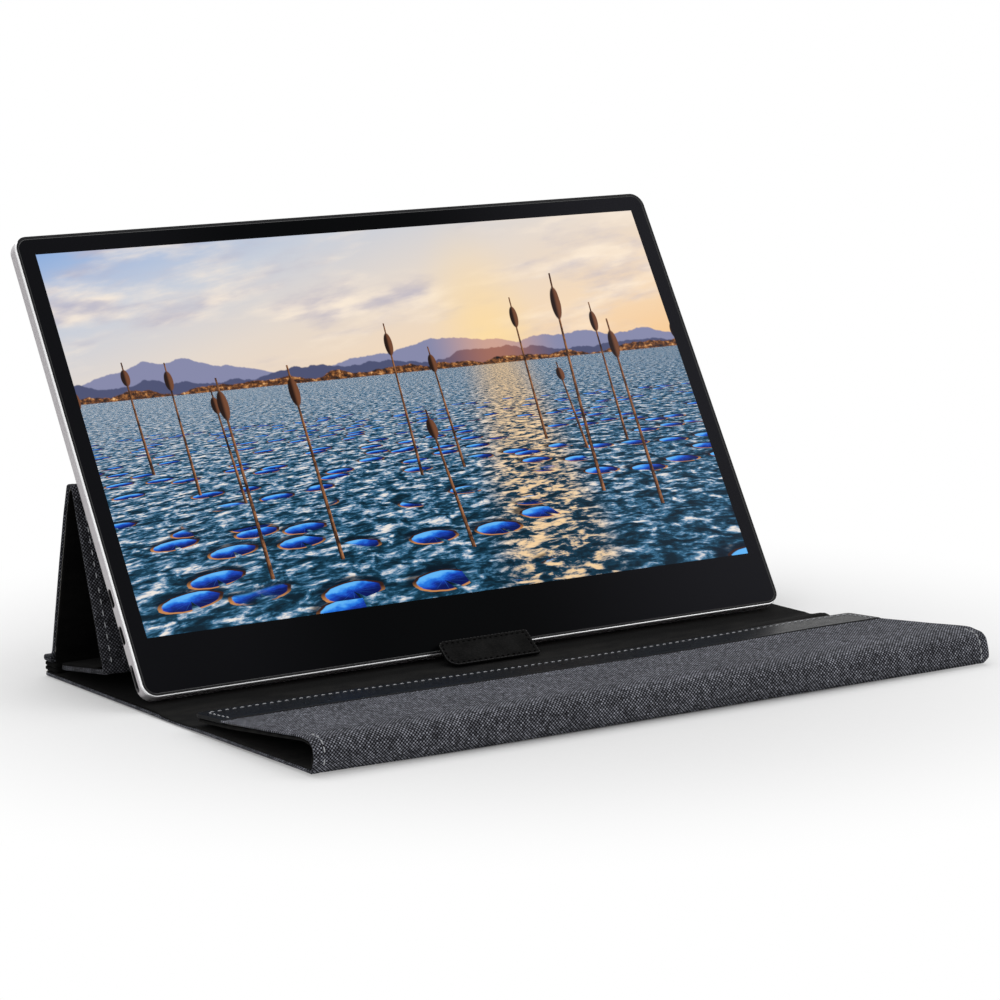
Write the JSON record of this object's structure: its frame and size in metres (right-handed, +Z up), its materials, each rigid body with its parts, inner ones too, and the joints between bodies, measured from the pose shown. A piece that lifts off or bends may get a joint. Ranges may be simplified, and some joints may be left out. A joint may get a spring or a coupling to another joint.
{
  "type": "portable monitor with folding cover",
  "caption": "Thin flat display propped at a slant in a cloth-covered folding cover: base with hinged flap, stop tab and A-frame stand.",
  "frame": {"origin": "on the table, under the middle of the whole width and depth", "axes": "+X to the viewer's right along the cover, +Y from the cover's front edge to its rear edge, +Z up from the table"},
  "size_m": [0.371, 0.2708, 0.2044],
  "materials": {
    "outer_cloth": "blue-grey melange basket weave with light thread ends",
    "lining": "short black brushed microfibre",
    "board": "grey pressed fibreboard",
    "magnet": "nickel plated",
    "binding": "smooth black coated binding, stitched",
    "tab_leather": "fine-grained black leather look, stitched round its edge",
    "shell_metal": "satin anodised with a bright cut edge",
    "rim_plastic": "satin black",
    "front_glass": "satin black border round a lit picture",
    "lcd_glass": "dark",
    "film": "white film",
    "clear_plastic": "clear acrylic",
    "led": "light bar",
    "frame_steel": "pressed steel",
    "circuit_board": "green solder mask",
    "cable_film": "amber film",
    "chip": "black moulded package",
    "speaker_box": "black moulded box",
    "socket_metal": "tinned steel",
    "button_metal": "satin anodised"
  },
  "bodies": {
    "base_rear": {"rear_base_cloth": "outer_cloth", "rear_base_board": "board", "rear_base_lining": "lining", "base_magnets": "magnet", "rear_spine": "outer_cloth"},
    "band": {"band_cloth": "outer_cloth", "band_lining": "lining"},
    "front_base": {"front_base_cloth": "outer_cloth", "front_base_board": "board", "front_base_lining": "lining"},
    "front_spine": {"spine_cloth": "outer_cloth", "spine_board": "board", "spine_lining": "lining"},
    "flap": {"flap_cloth": "outer_cloth", "flap_board": "board", "flap_lining": "lining", "flap_binding": "binding", "flap_magnets": "magnet"},
    "tab": {"stop_tab": "tab_leather", "tab_stiffener": "board"},
    "stand_back": {"stand_back_cloth": "outer_cloth", "stand_back_board": "board", "stand_back_lining": "lining"},
    "leg": {"leg_cloth": "outer_cloth", "leg_board": "board", "leg_lining": "lining"},
    "foot": {"foot_cloth": "outer_cloth", "foot_board": "board", "foot_lining": "lining", "foot_magnets": "magnet"},
    "display": {"rear_shell": "shell_metal", "front_rim": "rim_plastic", "cover_glass": "front_glass", "lcd_cell": "lcd_glass", "diffuser_sheets": "film", "light_guide": "clear_plastic", "reflector_sheet": "film", "led_bar": "led", "panel_frame": "frame_steel", "timing_board": "circuit_board", "display_cable": "cable_film", "driver_board": "circuit_board", "driver_chips": "chip", "speakers": "speaker_box", "usb_c_ports": "socket_metal", "mini_hdmi_port": "socket_metal", "button_board": "circuit_board"},
    "power_button": {"power_button": "button_metal"},
    "menu_rocker": {"menu_rocker": "button_metal"}
  },
  "joints": [
    {"name": "band_fold", "type": "hinge", "parent": "base_rear", "child": "band", "pos_m": [0, -0.00561, 0.0009], "axis": [-1, 0, 0], "range_deg": [0, 35]},
    {"name": "front_fold", "type": "hinge", "parent": "band", "child": "front_base", "pos_m": [0, -0.03261, 0.0009], "axis": [-1, 0, 0], "range_deg": [0, 45]},
    {"name": "spine_fold", "type": "hinge", "parent": "front_base", "child": "front_spine", "pos_m": [0, -0.13361, 0.0016], "axis": [1, 0, 0], "range_deg": [0, 80]},
    {"name": "flap_fold", "type": "hinge", "parent": "front_spine", "child": "flap", "pos_m": [0, -0.1324, 0.01242], "axis": [1, 0, 0], "range_deg": [0, 105]},
    {"name": "tab_fold", "type": "hinge", "parent": "base_rear", "child": "tab", "pos_m": [-0.0025, -0.00341, 0.0034], "axis": [1, 0, 0], "range_deg": [0, 50]},
    {"name": "stand_fold", "type": "hinge", "parent": "base_rear", "child": "stand_back", "pos_m": [0, 0.09939, 0.0114], "axis": [-1, 0, 0], "range_deg": [0, 95]},
    {"name": "leg_fold", "type": "hinge", "parent": "stand_back", "child": "leg", "pos_m": [0, 0.07669, 0.09386], "axis": [-1, 0, 0], "range_deg": [0, 10]},
    {"name": "foot_fold", "type": "hinge", "parent": "leg", "child": "foot", "pos_m": [0, 0.04867, 0.0104], "axis": [1, 0, 0], "range_deg": [0, 25]},
    {"name": "display_lift", "type": "slide", "parent": "base_rear", "child": "display", "axis": [0, 0.512, 0.859], "range_m": [0, 0.25]},
    {"name": "power_press", "type": "slide", "parent": "display", "child": "power_button", "axis": [-1, 0, 0], "range_m": [0, 0.0004], "stiffness_N_per_m": 1500, "springref_m": -0.0004},
    {"name": "menu_rock", "type": "hinge", "parent": "display", "child": "menu_rocker", "pos_m": [0.1769, 0.05758, 0.0744], "axis": [0, 0.859, -0.512], "range_deg": [-2.5, 2.5], "stiffness_Nm_per_rad": 0.05}
  ]
}
